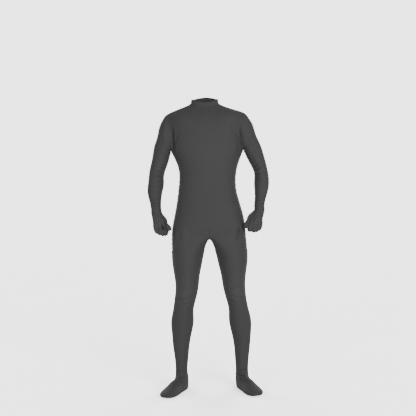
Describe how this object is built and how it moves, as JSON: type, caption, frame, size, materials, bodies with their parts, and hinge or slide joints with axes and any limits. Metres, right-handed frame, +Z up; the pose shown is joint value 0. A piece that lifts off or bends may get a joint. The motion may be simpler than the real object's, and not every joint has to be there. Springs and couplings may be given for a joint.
{
  "type": "full-length dance unitard with built-in gloves and feet",
  "caption": "Hollow, worn-shape stretch unitard with a mock neck, long sleeves, fist-closed gloves, feet and a back zip whose pull tab swings.",
  "frame": {"origin": "between the shoulders at the height where the wearer's shoulders and neck hold the garment, 1.45 m above the soles", "axes": "+Z up along the worn garment, +X to the wearer's left, the front faces -Y"},
  "size_m": [0.6324, 0.278, 1.5305],
  "materials": {
    "jersey": "matt charcoal stretch jersey, fine knit",
    "zip_coil": "dark nylon coil on tape",
    "zip_metal": "dark enamelled zinc"
  },
  "bodies": {
    "garment": {"front": "jersey", "back_left": "jersey", "back_right": "jersey", "sleeve_left": "jersey", "sleeve_right": "jersey", "collar": "jersey", "foot_left": "jersey", "foot_right": "jersey", "sole_left": "jersey", "sole_right": "jersey", "glove_left": "jersey", "glove_right": "jersey", "thumb_left": "jersey", "thumb_right": "jersey", "zip_chain": "zip_coil", "zip_slider": "zip_metal"},
    "tab": {"pull_tab": "zip_metal"}
  },
  "joints": [
    {"name": "pull_tab_swing", "type": "hinge", "parent": "garment", "child": "tab", "pos_m": [0.00298, 0.06885, 0.07349], "axis": [1, 0, 0], "range_deg": [0, 150]}
  ]
}
